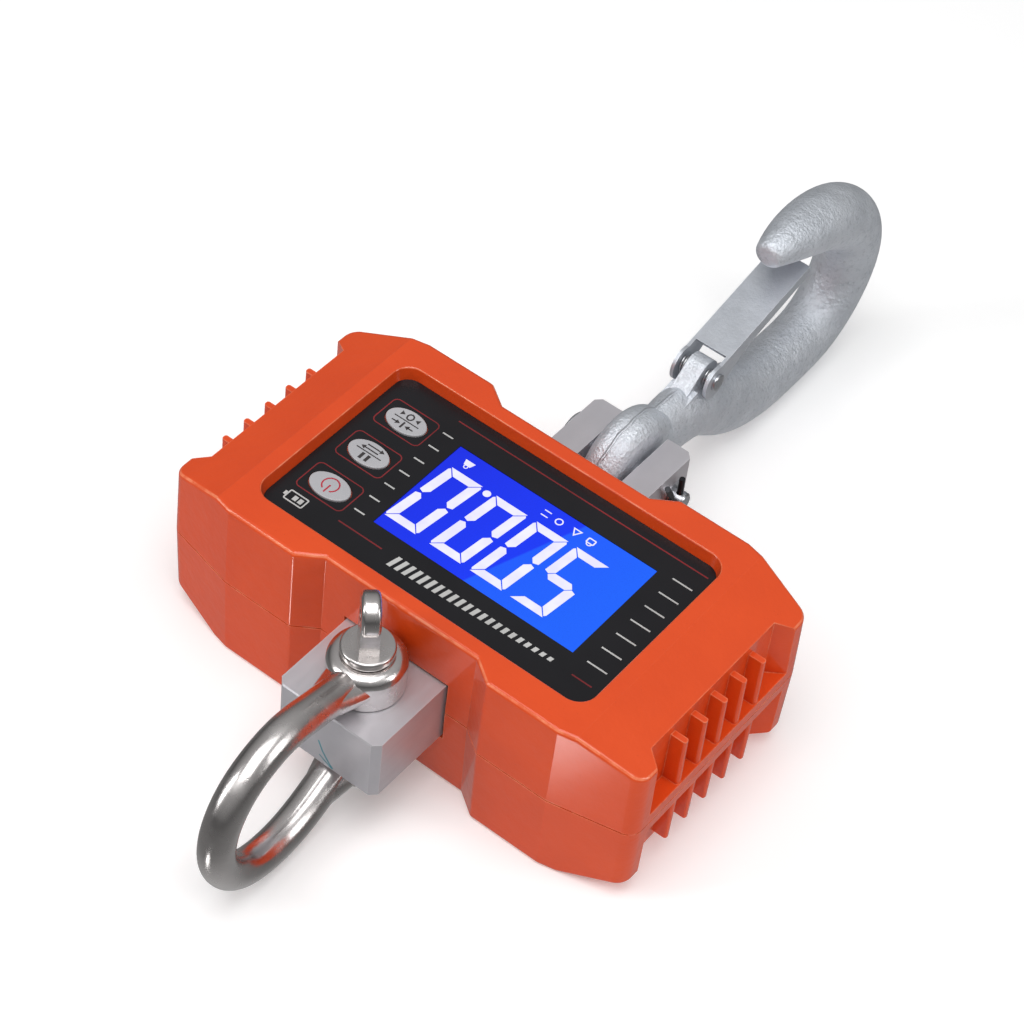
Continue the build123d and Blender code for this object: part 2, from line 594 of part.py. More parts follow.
tilt = radians(LATCH_TILT)
LATCH_PLANE = Plane(
    origin=(LATCH_W / 2, LATCH_Y, LATCH_Z),
    x_dir=(0, -cos(tilt), sin(tilt)),
    z_dir=(-1, 0, 0),
)
PLATE_TOP = 5.56
with BuildPart() as hook_latch:
    with BuildSketch(LATCH_PLANE):
        Circle(EAR_R)
        with BuildLine():
            Polyline(
                (2.0, -EAR_R + 0.4),
                (18, 0.4),
                (LATCH_LENGTH - 2.5, 1.4),
                (LATCH_LENGTH, 3.2),
                (LATCH_LENGTH, PLATE_TOP),
                (2.0, PLATE_TOP),
                close=True,
            )
        make_face()
    extrude(amount=LATCH_W)
    with BuildSketch(LATCH_PLANE.offset(LATCH_T)):
        with Locations((LATCH_LENGTH / 2, PLATE_TOP - LATCH_T - 10)):
            Rectangle(LATCH_LENGTH + 40, 20)
        with Locations((-3, 0)):
            Rectangle(20, 20)
    extrude(amount=LATCH_W - 2 * LATCH_T, mode=Mode.SUBTRACT)
    with Locations((0, LATCH_Y, LATCH_Z)):
        Cylinder(1.85, 30, rotation=(0, 90, 0), mode=Mode.SUBTRACT)
save(hook_latch, "hook_latch")

with BuildPart() as latch_pin:
    with Locations((0, LATCH_Y, LATCH_Z)):
        Cylinder(1.8, LATCH_W + 1.8, rotation=(0, 90, 0))
    for side in (-1, 1):
        with Locations((side * (LATCH_W / 2 + 0.5), LATCH_Y, LATCH_Z)):
            Cylinder(3.1, 0.9, rotation=(0, 90, 0))
    rims = edges().filter_by(GeomType.CIRCLE).filter_by(lambda e: e.radius > 3 and abs(e.center().X) > 8.1)
    fillet(rims, radius=0.5)
save(latch_pin, "latch_pin")


def coil(side):
    """One half of the double torsion spring, wound round the latch pin."""
    start_x = 3.8 if side > 0 else -5.7
    with BuildPart() as half:
        with BuildLine() as turns:
            centre = (start_x, LATCH_Y, LATCH_Z)
            Helix(pitch=0.95, height=1.9, radius=3.2, center=centre, direction=(1, 0, 0))
        with BuildSketch(Plane(origin=turns.edge() @ 0, z_dir=turns.edge() % 0)):
            Circle(0.42)
        sweep(is_frenet=True)
    return half.part


with BuildPart() as latch_spring:
    add(coil(1))
    add(coil(-1))
save(latch_spring, "latch_spring")
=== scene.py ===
"""Looks of the mini hanging scale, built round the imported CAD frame."""

import math

import bmesh
import bpy
from mathutils import Matrix, Vector


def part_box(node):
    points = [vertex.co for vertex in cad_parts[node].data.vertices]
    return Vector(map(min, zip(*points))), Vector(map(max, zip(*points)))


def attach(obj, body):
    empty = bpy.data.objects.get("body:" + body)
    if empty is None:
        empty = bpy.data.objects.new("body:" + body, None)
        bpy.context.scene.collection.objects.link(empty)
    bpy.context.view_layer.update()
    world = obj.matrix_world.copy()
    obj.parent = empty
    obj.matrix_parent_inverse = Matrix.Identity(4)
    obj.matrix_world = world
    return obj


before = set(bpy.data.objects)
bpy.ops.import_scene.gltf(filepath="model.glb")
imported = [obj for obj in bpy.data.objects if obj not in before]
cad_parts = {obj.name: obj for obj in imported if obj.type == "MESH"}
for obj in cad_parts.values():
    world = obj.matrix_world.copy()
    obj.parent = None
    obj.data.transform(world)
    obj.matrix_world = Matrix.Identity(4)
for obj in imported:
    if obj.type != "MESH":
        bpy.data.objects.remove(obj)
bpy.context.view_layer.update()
scene = bpy.context.scene


# ---------------------------------------------------------------- material helper
class Shade:
    """One node material; coordinates are the row frame's metres."""

    def __init__(self, name):
        self.material = bpy.data.materials.new(name)
        self.material.use_nodes = True
        self.tree = self.material.node_tree
        self.tree.nodes.clear()
        self.bsdf = self.node("ShaderNodeBsdfPrincipled")
        out = self.node("ShaderNodeOutputMaterial")
        self.join(self.bsdf.outputs["BSDF"], out.inputs["Surface"])
        self.at = self.node("ShaderNodeTexCoord").outputs["Object"]

    def node(self, kind, **settings):
        made = self.tree.nodes.new(kind)
        for key, value in settings.items():
            setattr(made, key, value)
        return made

    def join(self, source, target):
        self.tree.links.new(source, target)

    def fixed(self, **values):
        """Values set on the shader's own sockets."""
        for key, value in values.items():
            self.bsdf.inputs[key.replace("_", " ")].default_value = value

    def feed(self, name, source):
        self.join(source, self.bsdf.inputs[name])

    def stretched(self, factors):
        made = self.node("ShaderNodeMapping")
        made.inputs["Scale"].default_value = factors
        self.join(self.at, made.inputs["Vector"])
        return made.outputs["Vector"]

    def noise(self, scale, detail=3.0, rough=0.55, stretch=None, twist=0.0):
        made = self.node("ShaderNodeTexNoise")
        made.inputs["Scale"].default_value = scale
        made.inputs["Detail"].default_value = detail
        made.inputs["Roughness"].default_value = rough
        made.inputs["Distortion"].default_value = twist
        self.join(self.stretched(stretch) if stretch else self.at, made.inputs["Vector"])
        return made.outputs["Fac"]

    def cells(self, scale):
        """Distance to the nearest of many scattered points."""
        made = self.node("ShaderNodeTexVoronoi")
        made.inputs["Scale"].default_value = scale
        self.join(self.at, made.inputs["Vector"])
        return made.outputs["Distance"]

    def axis(self, name):
        made = self.node("ShaderNodeSeparateXYZ")
        self.join(self.at, made.inputs[0])
        return made.outputs[name]

    def maths(self, kind, first, second=0.0, third=None):
        made = self.node("ShaderNodeMath", operation=kind)
        for index, value in enumerate((first, second, third)):
            if value is None:
                continue
            if isinstance(value, (int, float)):
                made.inputs[index].default_value = value
            else:
                self.join(value, made.inputs[index])
        return made.outputs[0]

    def spread(self, source, low, high, new_low=0.0, new_high=1.0, smooth=False):
        """Source mapped from low..high to new_low..new_high, held at the ends."""
        made = self.node("ShaderNodeMapRange")
        if smooth:
            made.interpolation_type = "SMOOTHSTEP"
        for name, value in zip(("From Min", "From Max", "To Min", "To Max"), (low, high, new_low, new_high)):
            made.inputs[name].default_value = value
        self.join(source, made.inputs["Value"])
        return made.outputs["Result"]

    def ramp(self, source, *stops):
        made = self.node("ShaderNodeValToRGB")
        marks = made.color_ramp.elements
        while len(marks) < len(stops):
            marks.new(0.5)
        for mark, (place, colour) in zip(marks, stops):
            mark.position = place
            mark.color = (*colour, 1.0)
        self.join(source, made.inputs["Fac"])
        return made.outputs["Color"]

    def blend(self, amount, first, second):
        """Mix of two colours or sockets by a socket."""
        made = self.node("ShaderNodeMix", data_type="RGBA")
        for slot, value in ((made.inputs[6], first), (made.inputs[7], second)):
            if isinstance(value, tuple):
                slot.default_value = (*value, 1.0)
            else:
                self.join(value, slot)
        self.join(amount, made.inputs[0])
        return made.outputs[2]

    def relief(self, *layers):
        """Bump layers as (height, depth in metres)."""
        before = None
        for height, depth in layers:
            made = self.node("ShaderNodeBump")
            made.inputs["Strength"].default_value = 1.0
            made.inputs["Distance"].default_value = depth
            self.join(height, made.inputs["Height"])
            if before:
                self.join(before, made.inputs["Normal"])
            before = made.outputs["Normal"]
        self.feed("Normal", before)

    def slope(self, low, high):
        """1 where the surface leans between flat and upright, as on rounded rims."""
        made = self.node("ShaderNodeSeparateXYZ")
        self.join(self.node("ShaderNodeTexCoord").outputs["Normal"], made.inputs[0])
        lean = self.maths("ABSOLUTE", made.outputs["Z"])
        rising = self.spread(lean, low - 0.06, low + 0.06)
        falling = self.spread(lean, high - 0.05, high + 0.03, 1.0, 0.0)
        return self.maths("MULTIPLY", rising, falling)

    def edges(self, radius, low, high):
        """1 on convex and concave edges, 0 on flats."""
        round_off = self.node("ShaderNodeBevel", samples=6)
        round_off.inputs["Radius"].default_value = radius
        flat = self.node("ShaderNodeNewGeometry")
        dot = self.node("ShaderNodeVectorMath", operation="DOT_PRODUCT")
        self.join(round_off.outputs["Normal"], dot.inputs[0])
        self.join(flat.outputs["Normal"], dot.inputs[1])
        return self.spread(dot.outputs["Value"], high, low)


def plastic(name, colour, rough, grain=900.0, depth=0.00003, coat=0.0, vary=0.18):
    """Moulded plastic or rubber with fine grain, slight mottling and rubbed spots."""
    made = Shade(name)
    mottle = made.noise(60, 4)
    dark = tuple(c * (1 - vary) for c in colour)
    light = tuple(min(1.0, c * (1 + vary)) for c in colour)
    made.feed("Base Color", made.ramp(mottle, (0.3, dark), (0.7, light)))
    made.feed("Roughness", made.spread(made.noise(140, 3), 0.3, 0.7, rough - 0.07, rough + 0.07))
    made.relief((made.noise(grain, 2), depth))
    made.fixed(Coat_Weight=coat, Coat_Roughness=0.12)
    return made.material


STREAK_SCALE, STREAK_DEPTH, METAL_VARY = 700.0, 0.00002, 0.12


def metal(name, colour, rough, streak):
    """Machined or plated metal with streaks along one direction."""
    made = Shade(name)
    dark = tuple(c * (1 - METAL_VARY) for c in colour)
    light = tuple(min(1.0, c * (1 + METAL_VARY)) for c in colour)
    made.feed("Base Color", made.ramp(made.noise(90, 4), (0.3, dark), (0.7, light)))
    lines = made.noise(STREAK_SCALE, 3, stretch=streak)
    made.feed("Roughness", made.spread(lines, 0.25, 0.75, rough - 0.06, rough + 0.08))
    made.relief((lines, STREAK_DEPTH))
    made.fixed(Metallic=1.0)
    return made.material


# ---------------------------------------------------------------- materials of the visible parts
def orange_coat():
    """Glossy baked coating over a casting: orange peel, soft waves, edges and rounded rims lightened partly
    as rubbed paint and partly as a painted highlight.
    """
    made = Shade("orange_coat")
    body = made.ramp(made.noise(22, 4), (0.25, (0.67, 0.060, 0.0065)), (0.75, (0.77, 0.077, 0.009)))
    specks = made.spread(made.cells(420), 0.03, 0.09, 1.0, 0.0)
    body = made.blend(made.maths("MULTIPLY", specks, 0.35), body, (0.42, 0.04, 0.010))
    # edges and rounded rims lightened in patches: partly rubbed paint, partly a painted highlight line along
    # the fillets
    rim_wear_and_highlight = made.maths("MAXIMUM", made.edges(0.0008, 0.86, 0.99), made.slope(0.50, 0.86))
    patchy = made.spread(made.noise(150, 5, 0.7), 0.42, 0.62, 0.30, 1.0)
    rim_wear_and_highlight = made.maths("MULTIPLY", rim_wear_and_highlight, patchy)
    body = made.blend(made.maths("MULTIPLY", rim_wear_and_highlight, 0.62), body, (0.95, 0.36, 0.19))
    made.feed("Base Color", body)
    made.feed("Roughness", made.spread(made.noise(35, 3), 0.3, 0.7, 0.30, 0.42))
    made.relief((made.noise(38, 2), 0.0005), (made.noise(240, 2, 0.6), 0.00018))
    made.fixed(Coat_Weight=0.8, Coat_Roughness=0.06, Specular_IOR_Level=0.2)
    return made.material


def panel_black():
    """Printed polyester overlay: near black, finely textured, a few dust specks and hairline rubs."""
    made = Shade("panel_black")
    base = made.ramp(made.noise(30, 4), (0.3, (0.0058, 0.0056, 0.0075)), (0.7, (0.0092, 0.009, 0.0115)))
    dust = made.spread(made.cells(260), 0.015, 0.05, 1.0, 0.0)
    sparse = made.spread(made.noise(45, 3), 0.60, 0.68)
    dusty = made.maths("MULTIPLY", made.maths("MULTIPLY", dust, sparse), 0.5)
    base = made.blend(dusty, base, (0.25, 0.24, 0.23))
    rubs = made.spread(made.noise(260, 6, 0.75, twist=1.5), 0.66, 0.72)
    slant = made.maths("ADD", made.axis("Y"), made.maths("MULTIPLY", made.axis("X"), 0.25))
    edge = made.spread(slant, -0.0445, -0.0475)
    rubbed = made.maths("MULTIPLY", made.maths("MULTIPLY", rubs, edge), 0.8)
    base = made.blend(rubbed, base, (0.30, 0.27, 0.25))
    made.feed("Base Color", base)
    made.feed("Roughness", made.spread(made.noise(90, 4), 0.3, 0.7, 0.26, 0.36))
    made.relief((made.noise(1500, 2), 0.000012), (made.noise(24, 2), 0.0002))
    made.fixed(Coat_Weight=0.08, Coat_Roughness=0.15, Specular_IOR_Level=0.32)
    return made.material


def lcd_blue():
    """Backlit display glass, its glow brighter towards the lamp end of the light guide; a lighter zone on
    one side of a slanting line is a painted reflection.
    """
    made = Shade("lcd_blue")
    slant = made.maths("SUBTRACT", made.axis("X"), made.maths("MULTIPLY", made.axis("Y"), 0.337))
    # painted reflection: a lighter band of the glass on one side of a slanting line
    step = made.spread(slant, -0.0112, -0.0120, 0.0, 1.0)
    soft = made.spread(slant, -0.040, 0.036, 1.0, 0.0)
    deep = made.ramp(soft, (0.0, (0.0035, 0.020, 0.80)), (1.0, (0.003, 0.042, 1.0)))
    lit = made.ramp(soft, (0.45, (0.006, 0.095, 1.0)), (1.0, (0.007, 0.125, 1.0)))
    glow_and_painted_reflection = made.blend(step, deep, lit)
    dots = made.spread(made.cells(1900), 0.2, 0.7, 0.96, 1.02)
    made.feed("Emission Color", glow_and_painted_reflection)
    made.feed("Emission Strength", made.maths("MULTIPLY", dots, 0.95))
    under = made.ramp(made.noise(60), (0.3, (0.001, 0.004, 0.03)), (0.7, (0.002, 0.006, 0.05)))
    made.feed("Base Color", under)
    made.feed("Roughness", made.spread(made.noise(200), 0.3, 0.7, 0.08, 0.14))
    made.relief((made.noise(60, 2), 0.00002))
    made.fixed(Specular_IOR_Level=0.35)
    return made.material


def lcd_digit():
    """Clear segments of the display, lit from behind."""
    made = Shade("lcd_digit")
    shade = made.ramp(made.noise(150, 3), (0.35, (0.80, 0.78, 1.0)), (0.65, (0.90, 0.89, 1.0)))
    made.feed("Emission Color", shade)
    made.fixed(Emission_Strength=0.93)
    made.feed("Base Color", made.ramp(made.noise(90), (0.3, (0.05, 0.05, 0.07)), (0.7, (0.08, 0.08, 0.1))))
    made.fixed(Roughness=0.12)
    made.relief((made.noise(300, 2), 0.00001))
    return made.material


def aluminium():
    """Milled and satin-finished aluminium block."""
    made = Shade("cell_aluminium")
    tone = made.ramp(made.noise(35, 4), (0.3, (0.56, 0.545, 0.58)), (0.7, (0.65, 0.635, 0.67)))
    mill = made.noise(650, 3, stretch=(1.0, 0.05, 1.0))
    # painted highlight: edges and chamfers lightened towards near white
    painted_edge_highlight = made.edges(0.0004, 0.85, 0.99)
    made.feed("Base Color", made.blend(made.maths("MULTIPLY", painted_edge_highlight, 0.7), tone, (0.92, 0.92, 0.95)))
    made.feed("Roughness", made.spread(mill, 0.25, 0.75, 0.32, 0.46))
    made.relief((mill, 0.00002), (made.noise(900, 2), 0.000015))
    made.fixed(Metallic=0.6)
    return made.material


def stainless():
    """Polished stainless casting with faint waves, pits and drawn lines."""
    made = Shade("shackle_stainless")
    tone = made.ramp(made.noise(50, 4), (0.3, (0.58, 0.55, 0.54)), (0.7, (0.72, 0.69, 0.68)))
    pits = made.spread(made.cells(330), 0.04, 0.12, 1.0, 0.0)
    few = made.spread(made.noise(70, 3), 0.56, 0.66)
    pits = made.maths("MULTIPLY", pits, few)
    made.feed("Base Color", made.blend(made.maths("MULTIPLY", pits, 0.6), tone, (0.10, 0.09, 0.08)))
    made.feed("Roughness", made.spread(made.noise(120, 4), 0.3, 0.7, 0.18, 0.32))
    made.relief((made.noise(70, 2), 0.00012), (made.noise(600, 3, stretch=(1, 0.15, 1)), 0.000008),
                (pits, -0.00006))
    made.fixed(Metallic=1.0)
    return made.material


def hook_zinc():
    """Drop forging with bright zinc plating: rough skin, small pits and glints."""
    made = Shade("hook_zinc")
    tone = made.ramp(made.noise(45, 6, 0.65), (0.3, (0.60, 0.635, 0.69)), (0.72, (0.80, 0.835, 0.89)))
    grit = made.noise(520, 5, 0.7)
    made.feed("Base Color", made.blend(made.spread(grit, 0.54, 0.72, 0.0, 0.5), tone, (0.27, 0.30, 0.34)))
    made.feed("Roughness", made.spread(made.noise(260, 5, 0.7), 0.3, 0.7, 0.28, 0.52))
    # forging flash round the eye
    wander = made.maths("MULTIPLY_ADD", made.noise(90, 2), 0.0024, -0.0012)
    off = made.maths("ABSOLUTE", made.maths("ADD", made.axis("X"), wander))
    flash = made.spread(off, 0.0002, 0.0007, 1.0, 0.0, smooth=True)
    flash = made.maths("MULTIPLY", flash, made.spread(made.axis("Y"), -0.104, -0.098))
    made.relief((made.noise(70, 3), 0.0008), (made.noise(420, 5, 0.75), 0.00055), (made.cells(900), 0.00016),
                (flash, 0.0005))
    made.fixed(Metallic=0.6)
    return made.material


def latch_zinc():
    """Zinc-plated sheet with a fine pressed grain."""
    made = Shade("latch_zinc")
    tone = made.ramp(made.noise(60, 5, 0.6), (0.3, (0.50, 0.53, 0.58)), (0.7, (0.62, 0.65, 0.70)))
    # painted highlight: edges lightened towards near white, as on the load cell block
    painted_edge_highlight = made.edges(0.0005, 0.85, 0.99)
    made.feed("Base Color", made.blend(made.maths("MULTIPLY", painted_edge_highlight, 0.6), tone, (0.85, 0.88, 0.92)))
    made.feed("Roughness", made.spread(made.noise(300, 4), 0.3, 0.7, 0.30, 0.42))
    made.relief((made.noise(900, 4, 0.7), 0.00010), (made.noise(50, 2), 0.0001))
    made.fixed(Metallic=0.65)
    return made.material


MADE = {
    "orange_coat": orange_coat(),
    "panel_black": panel_black(),
    "lcd_blue": lcd_blue(),
    "cell_aluminium": aluminium(),
    "shackle_stainless": stainless(),
    "hook_zinc": hook_zinc(),
    "latch_zinc": latch_zinc(),
    "key_grey": plastic("key_grey", (0.42, 0.42, 0.44), 0.38, 1400, 0.000012, 0.2, 0.06),
    "seal_rubber": plastic("seal_rubber", (0.018, 0.017, 0.017), 0.75),
    "dark_steel": metal("dark_steel", (0.16, 0.155, 0.15), 0.38, (1, 1, 0.1)),
    "module_plastic": plastic("module_plastic", (0.60, 0.60, 0.57), 0.5),
    "switch_black": plastic("switch_black", (0.02, 0.02, 0.022), 0.45),
    "board_green": plastic("board_green", (0.015, 0.16, 0.055), 0.35, 300, 0.00002, 0.4, 0.3),
    "zinc_steel": metal("zinc_steel", (0.60, 0.61, 0.64), 0.28, (1, 1, 0.1)),
    "gauge_film": plastic("gauge_film", (0.55, 0.30, 0.06), 0.3, 1800, 0.00001, 0.5, 0.3),
    "cover_plate": metal("cover_plate", (0.50, 0.51, 0.53), 0.4, (1, 0.05, 1)),
    "lead_grey": plastic("lead_grey", (0.22, 0.22, 0.23), 0.5),
    "battery_wrap": plastic("battery_wrap", (0.05, 0.10, 0.20), 0.3, 500, 0.00001, 0.5, 0.2),
    "contact_nickel": metal("contact_nickel", (0.66, 0.63, 0.57), 0.25, (1, 1, 0.1)),
    "door_plastic": plastic("door_plastic", (0.024, 0.024, 0.026), 0.48, 800, 0.00005),
    "clip_black": metal("clip_black", (0.045, 0.045, 0.05), 0.4, (1, 0.2, 1)),
    "spring_steel": metal("spring_steel", (0.50, 0.50, 0.51), 0.22, (1, 0.2, 1)),
}
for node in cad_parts.values():
    for place in node.material_slots:
        place.material = MADE[place.material.name.split(".")[0]]

INK_WHITE = plastic("ink_white", (0.48, 0.48, 0.47), 0.5, 2500, 0.00001, 0.0, 0.15)
INK_RED = plastic("ink_red", (0.19, 0.012, 0.016), 0.45, 2500, 0.00001, 0.0, 0.25)
INK_POWER = plastic("ink_power", (0.42, 0.022, 0.045), 0.45, 2500, 0.00001, 0.0, 0.15)
INK_DARK = plastic("ink_dark", (0.035, 0.03, 0.032), 0.5, 2500, 0.00001, 0.0, 0.2)
INK_PEN = plastic("ink_pen", (0.045, 0.22, 0.27), 0.5, 1200, 0.00001, 0.0, 0.5)
LCD_DIGIT = lcd_digit()

# ---------------------------------------------------------------- printed graphics
MM = 0.001
INK = 0.04 * MM


def stroke(points, width, closed=False):
    """Outline of a line of even width through points, as four-sided patches."""
    count = len(points)
    sides = []
    for i, here in enumerate(points):
        here = Vector(here)
        before = Vector(points[i - 1]) if i or closed else None
        after = Vector(points[(i + 1) % count]) if i < count - 1 or closed else None
        runs = [here - before] if before else []
        runs += [after - here] if after else []
        runs = [run.normalized() for run in runs]
        normals = [Vector((-r.y, r.x)) for r in runs]
        middle = sum(normals, Vector((0, 0))).normalized()
        reach = width / 2 / max(0.3, middle.dot(normals[0]))
        sides.append((here + middle * reach, here - middle * reach))
    last = count if closed else count - 1
    following = sides[1:] + sides[:1]
    return [(a[0], a[1], b[1], b[0]) for a, b in list(zip(sides, following))[:last]]


def arc(x, y, radius, start, end, steps):
    """Points on a circle between two angles in degrees."""
    turns = [math.radians(start + (end - start) * i / steps) for i in range(steps + 1)]
    return [(x + radius * math.cos(turn), y + radius * math.sin(turn)) for turn in turns]


def rounded(x, y, length, width, radius):
    """Closed outline of a rectangle with round corners, centred on x, y."""
    points = []
    for turn, (sx, sy) in enumerate(((1, 1), (-1, 1), (-1, -1), (1, -1))):
        points += arc(x + sx * (length / 2 - radius), y + sy * (width / 2 - radius), radius, turn * 90,
                      turn * 90 + 90, 6)
    return points


def printed(name, patches, height, material, body, turn=None):
    """Thin raised layer made of flat patches given in millimetres, lying on height."""
    mesh = bpy.data.meshes.new(name)
    work = bmesh.new()
    for patch in patches:
        work.faces.new([work.verts.new((p[0] * MM, p[1] * MM, 0)) for p in patch])
    bmesh.ops.remove_doubles(work, verts=work.verts, dist=1e-6)
    bmesh.ops.recalc_face_normals(work, faces=work.faces)
    top = bmesh.ops.extrude_face_region(work, geom=work.faces[:])
    raised = [part for part in top["geom"] if isinstance(part, bmesh.types.BMVert)]
    bmesh.ops.translate(work, verts=raised, vec=(0, 0, INK))
    bmesh.ops.recalc_face_normals(work, faces=work.faces)
    work.transform(turn or Matrix.Translation((0, 0, height)))
    work.to_mesh(mesh)
    work.free()
    piece = bpy.data.objects.new(name, mesh)
    scene.collection.objects.link(piece)
    mesh.materials.append(material)
    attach(piece, body)


def box_patch(x0, x1, y0, y1):
    """Corners of an upright rectangle."""
    return [(x0, y0), (x1, y0), (x1, y1), (x0, y1)]


panel_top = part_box("panel_overlay")[1].z
glass_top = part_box("lcd_glass")[1].z

# scale marks beside the display
marks = []
for row in range(7):
    y = 19.1 - 7.2 * row
    marks.append(box_patch(-59.2, -51.9, y - 0.28, y + 0.28))
    marks.append(box_patch(33.6, 37.6, y - 0.28, y + 0.28))
printed("panel_marks", marks, panel_top, INK_WHITE, "housing")

# load-level bars under the display
bars = []
for i in range(22):
    x = -44.2 + i * 2.75
    tall = 1.6 + 3.4 * i / 21
    lean = tall * 0.22
    bars.append([(x, 25.0), (x + 1.5, 25.0), (x + 1.5 + lean, 25.0 + tall), (x + lean, 25.0 + tall)])
printed("panel_level_bars", bars, panel_top, INK_WHITE, "housing")

rules = [box_patch(-60.0, 37.0, -31.6, -31.1), box_patch(20.9, 38.0, 25.9, 26.4)]
rules.append(box_patch(-58.8, -51.5, 25.9, 26.4))
printed("panel_rules", rules, panel_top, INK_RED, "housing")

battery = stroke(rounded(53.2, 28.2, 7.0, 4.0, 0.5), 0.5, True)
battery.append(box_patch(57.0, 57.9, 27.4, 29.0))
battery += [box_patch(left, left + 1.5, 27.2, 29.2) for left in (50.7, 52.8)]
printed("panel_battery_mark", battery, panel_top, INK_WHITE, "housing")



def power_mark():
    """Broken ring with an upright stroke."""
    return stroke(arc(0, -0.3, 2.8, 118, 422, 40), 0.5) + [box_patch(-0.27, 0.27, -0.2, 3.3)]


def hold_mark():
    """Pause bars over a pair of opposite arrows."""
    patches = [box_patch(-4.8, 4.8, -0.2, 0.2)]
    patches += [box_patch(x - 0.55, x + 0.55, 0.8, 3.6) for x in (-1.1, 1.1)]
    for side, y in ((1, -1.35), (-1, -2.85)):
        patches.append(box_patch(-2.6, 2.6, y - 0.24, y + 0.24))
        patches.append([(side * 4.0, y), (side * 2.5, y + 0.9), (side * 2.5, y - 0.9)])
    return patches


def tare_mark():
    """Arrows meeting at a bar, over a ring between two pointers."""
    patches = [box_patch(-4.8, 4.8, -0.2, 0.2), box_patch(-0.35, 0.35, 0.7, 3.5)]
    for side in (-1, 1):
        patches.append(box_patch(*sorted((side * 4.2, side * 2.2)), 1.85, 2.35))
        patches.append([(side * 1.0, 2.1), (side * 2.5, 3.05), (side * 2.5, 1.15)])
        patches.append([(side * 2.1, -2.1), (side * 3.6, -1.1), (side * 3.6, -3.1)])
    turns = [step / 12 * math.pi for step in range(24)]
    ring = [(1.1 * math.cos(turn), 1.25 * math.sin(turn) - 2.1) for turn in turns]
    return patches + stroke(ring, 0.55, True)


KEY_MARKS = {
    "key_tare": (tare_mark(), INK_DARK),
    "key_hold": (hold_mark(), INK_DARK),
    "key_power": (power_mark(), INK_POWER),
}
for name, (symbol, ink) in KEY_MARKS.items():
    low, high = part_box(name)
    cx, cy = (low.x + high.x) / 2 / MM, (low.y + high.y) / 2 / MM
    outline = stroke(rounded(cx, cy, 18.2, 12.6, 1.9), 0.4, True)
    printed("frame_of_" + name, outline, panel_top, INK_RED, "housing")
    centred = [[(p[0] + cx, p[1] + cy) for p in patch] for patch in symbol]
    printed("mark_of_" + name, centred, high.z, ink, name)


# ---------------------------------------------------------------- display segments
DIGIT_W, DIGIT_H, BAR, GAP, LEAN = 12.9, 29.2, 3.3, 0.35, 0.106
SEGMENTS = {"0": "abcdef", "5": "afgcd"}


def digit(left, value):
    """Leaning seven-segment figure whose left edge crosses the middle height at left."""
    w, h, b, g = DIGIT_W, DIGIT_H / 2, BAR, GAP
    shapes = {
        "a": [(g, h), (w - g, h), (w - b, h - b + g), (b, h - b + g)],
        "d": [(b, -h + b - g), (w - b, -h + b - g), (w - g, -h), (g, -h)],
        "g": [(b * 0.55, 0), (b, b / 2), (w - b, b / 2), (w - b * 0.55, 0), (w - b, -b / 2), (b, -b / 2)],
        "f": [(0.5, h - 0.6), (b - 0.1, h - b - 0.1), (b - 0.1, b / 2 + g), (b * 0.5, g), (0, g + 0.6),
              (0, h - 1.2)],
        "e": [(0, -g - 0.6), (b * 0.5, -g), (b - 0.1, -b / 2 - g), (b - 0.1, -h + b + 0.1), (0.5, -h + 0.6),
              (0, -h + 1.2)],
    }
    shapes["b"] = [(w - x, y) for x, y in shapes["f"]]
    shapes["c"] = [(w - x, y) for x, y in shapes["e"]]
    return [[(left + x + LEAN * y, y) for x, y in shapes[s]] for s in SEGMENTS[value]]


figures = digit(-33.6, "5") + digit(-18.1, "0") + digit(-2.3, "0") + digit(15.3, "0")
figures.append(arc(11.4, -13.2, 1.35, 0, 345, 23))
printed("display_figures", figures, glass_top, LCD_DIGIT, "housing")

# small state marks of the display: padlock, triangle, ring, two bars and a weight
small = stroke(rounded(-24.5, -19.3, 2.6, 1.9, 0.3), 0.45, True)
small += stroke(arc(-24.5, -18.3, 0.9, 0, 180, 12), 0.4)
small += stroke([(-20.2, -20.3), (-17.4, -20.3), (-18.8, -17.8)], 0.42, True)
small += stroke(arc(-12.3, -19.1, 1.2, 0, 345, 23), 0.42, True)
for y in (-18.0, -20.2):
    small += stroke([(-8.6, y), (-6.0, y)], 0.4)
small.append([(21.4, -20.3), (25.2, -20.3), (24.5, -18.1), (22.1, -18.1)])
small += stroke(arc(23.3, -17.6, 0.65, -40, 220, 16), 0.35)
printed("display_state_marks", small, glass_top, LCD_DIGIT, "housing")

# pen tick on the front of the load cell's block
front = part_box("load_cell")[1].y
pen = stroke([(2.4, 31.0), (0.6, 27.0), (-2.2, 23.2), (-3.6, 21.9)], 0.55)
pen += stroke([(1.8, 24.6), (-0.6, 23.2), (-3.4, 21.7)], 0.4)
upright = Matrix.Translation((0, front, 0)) @ Matrix.Rotation(math.radians(90), 4, "X")
upright = upright @ Matrix.Scale(-1, 4, (0, 0, 1))
printed("block_pen_mark", pen, 0, INK_PEN, "housing", turn=upright)

# ---------------------------------------------------------------- camera
camera_data = bpy.data.cameras.new("camera")
camera = bpy.data.objects.new("camera", camera_data)
scene.collection.objects.link(camera)
scene.camera = camera
camera.matrix_world = Matrix(((-0.785114, 0.503147, -0.361163, -0.324882),
                              (-0.613346, -0.550623, 0.566234, 0.498386),
                              (0.086034, 0.666076, 0.740905, 0.729849),
                              (0, 0, 0, 1)))
camera_data.sensor_width = 36
camera_data.lens = 103.32
camera_data.clip_start = 0.01

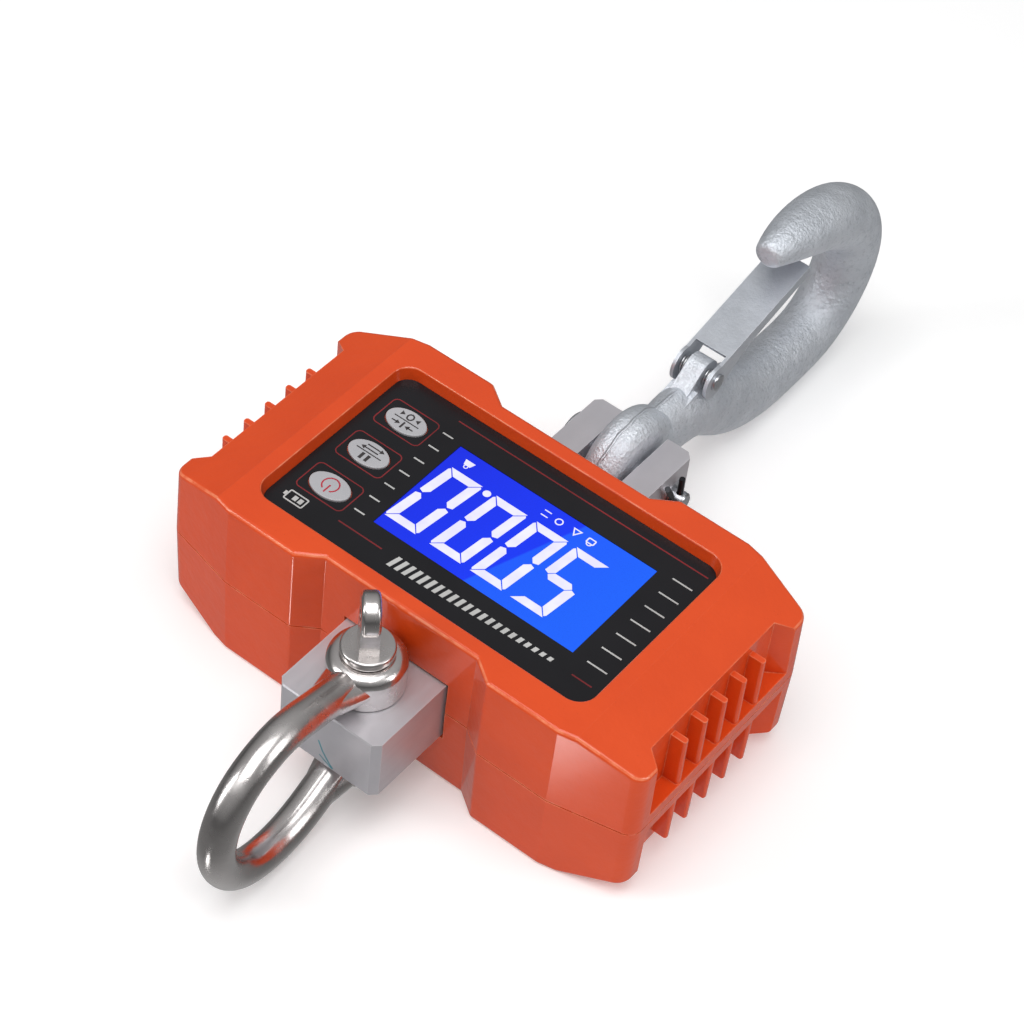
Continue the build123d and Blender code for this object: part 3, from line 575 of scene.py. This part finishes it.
# ---------------------------------------------------------------- floor and light
floor_mesh = bpy.data.meshes.new("floor")
floor_mesh.from_pydata([(-6, -6, 0), (6, -6, 0), (6, 6, 0), (-6, 6, 0)], [], [(0, 1, 2, 3)])
floor = bpy.data.objects.new("floor", floor_mesh)
scene.collection.objects.link(floor)
paper = Shade("studio_paper")
white = paper.ramp(paper.noise(3, 3), (0.3, (0.90, 0.90, 0.90)), (0.7, (0.93, 0.93, 0.93)))
paper.feed("Base Color", white)
paper.relief((paper.noise(900, 2), 0.00002))
paper.fixed(Roughness=0.9, Specular_IOR_Level=0.1, Emission_Color=(1, 1, 1, 1), Emission_Strength=0.18)
floor_mesh.materials.append(paper.material)
floor.visible_glossy = False


LAMP_TARGET = Vector((0, 0, 0.03))


def lamp(name, place, size, power):
    """Soft rectangular lamp at place, aimed at the scale."""
    data = bpy.data.lights.new(name, "AREA")
    data.shape = "RECTANGLE"
    data.size, data.size_y = size
    data.energy = power
    made = bpy.data.objects.new(name, data)
    scene.collection.objects.link(made)
    made.location = place
    made.rotation_mode = "QUATERNION"
    made.rotation_quaternion = (LAMP_TARGET - Vector(place)).to_track_quat("-Z", "Y")


lamp("top_lamp", (-0.15, 0.35, 1.5), (1.3, 1.1), 14.5)
lamp("left_lamp", (0.85, 0.95, 0.75), (0.35, 0.9), 5.5)
lamp("right_lamp", (-1.25, -0.35, 0.75), (0.35, 0.9), 4)

# grey level of the surroundings, from straight down (0) to straight up (1)
LEVELS = ((0.0, 0.62), (0.16, 0.30), (0.38, 0.22), (0.47, 0.15), (0.53, 0.10), (0.66, 0.30),
          (0.82, 0.48), (1.0, 0.60))
# a small bright card low in front, which the glossy corner faces pick up
CARD_TOWARDS = Vector((0.077, 0.692, -0.716)).normalized()
CARD_EDGE, CARD_CORE, CARD_LEVEL = 0.9955, 0.9985, 13.0
WORLD_STRENGTH = 0.75
world = bpy.data.worlds.new("studio")
scene.world = world
world.use_nodes = True
tree = world.node_tree
sky = tree.nodes["Background"]
where = tree.nodes.new("ShaderNodeTexCoord")
split = tree.nodes.new("ShaderNodeSeparateXYZ")
height = tree.nodes.new("ShaderNodeMapRange")
height.inputs["From Min"].default_value = -1.0
tone = tree.nodes.new("ShaderNodeValToRGB")
tree.links.new(where.outputs["Generated"], split.inputs[0])
tree.links.new(split.outputs["Z"], height.inputs["Value"])
tree.links.new(height.outputs["Result"], tone.inputs["Fac"])
ramp = tone.color_ramp.elements
for place, level in LEVELS:
    mark = ramp[0] if place == 0.0 else ramp[-1] if place == 1.0 else ramp.new(place)
    mark.position = place
    mark.color = (level, level, level, 1)
aim = tree.nodes.new("ShaderNodeVectorMath")
aim.operation = "DOT_PRODUCT"
aim.inputs[1].default_value = CARD_TOWARDS
card = tree.nodes.new("ShaderNodeMapRange")
card.inputs["From Min"].default_value = CARD_EDGE
card.inputs["From Max"].default_value = CARD_CORE
card.inputs["To Max"].default_value = CARD_LEVEL
both = tree.nodes.new("ShaderNodeMix")
both.data_type = "RGBA"
both.blend_type = "ADD"
both.inputs[0].default_value = 1.0
tree.links.new(where.outputs["Generated"], aim.inputs[0])
tree.links.new(aim.outputs["Value"], card.inputs["Value"])
tree.links.new(tone.outputs["Color"], both.inputs[6])
tree.links.new(card.outputs["Result"], both.inputs[7])
tree.links.new(both.outputs[2], sky.inputs["Color"])
sky.inputs["Strength"].default_value = WORLD_STRENGTH

scene.view_settings.view_transform = "Standard"
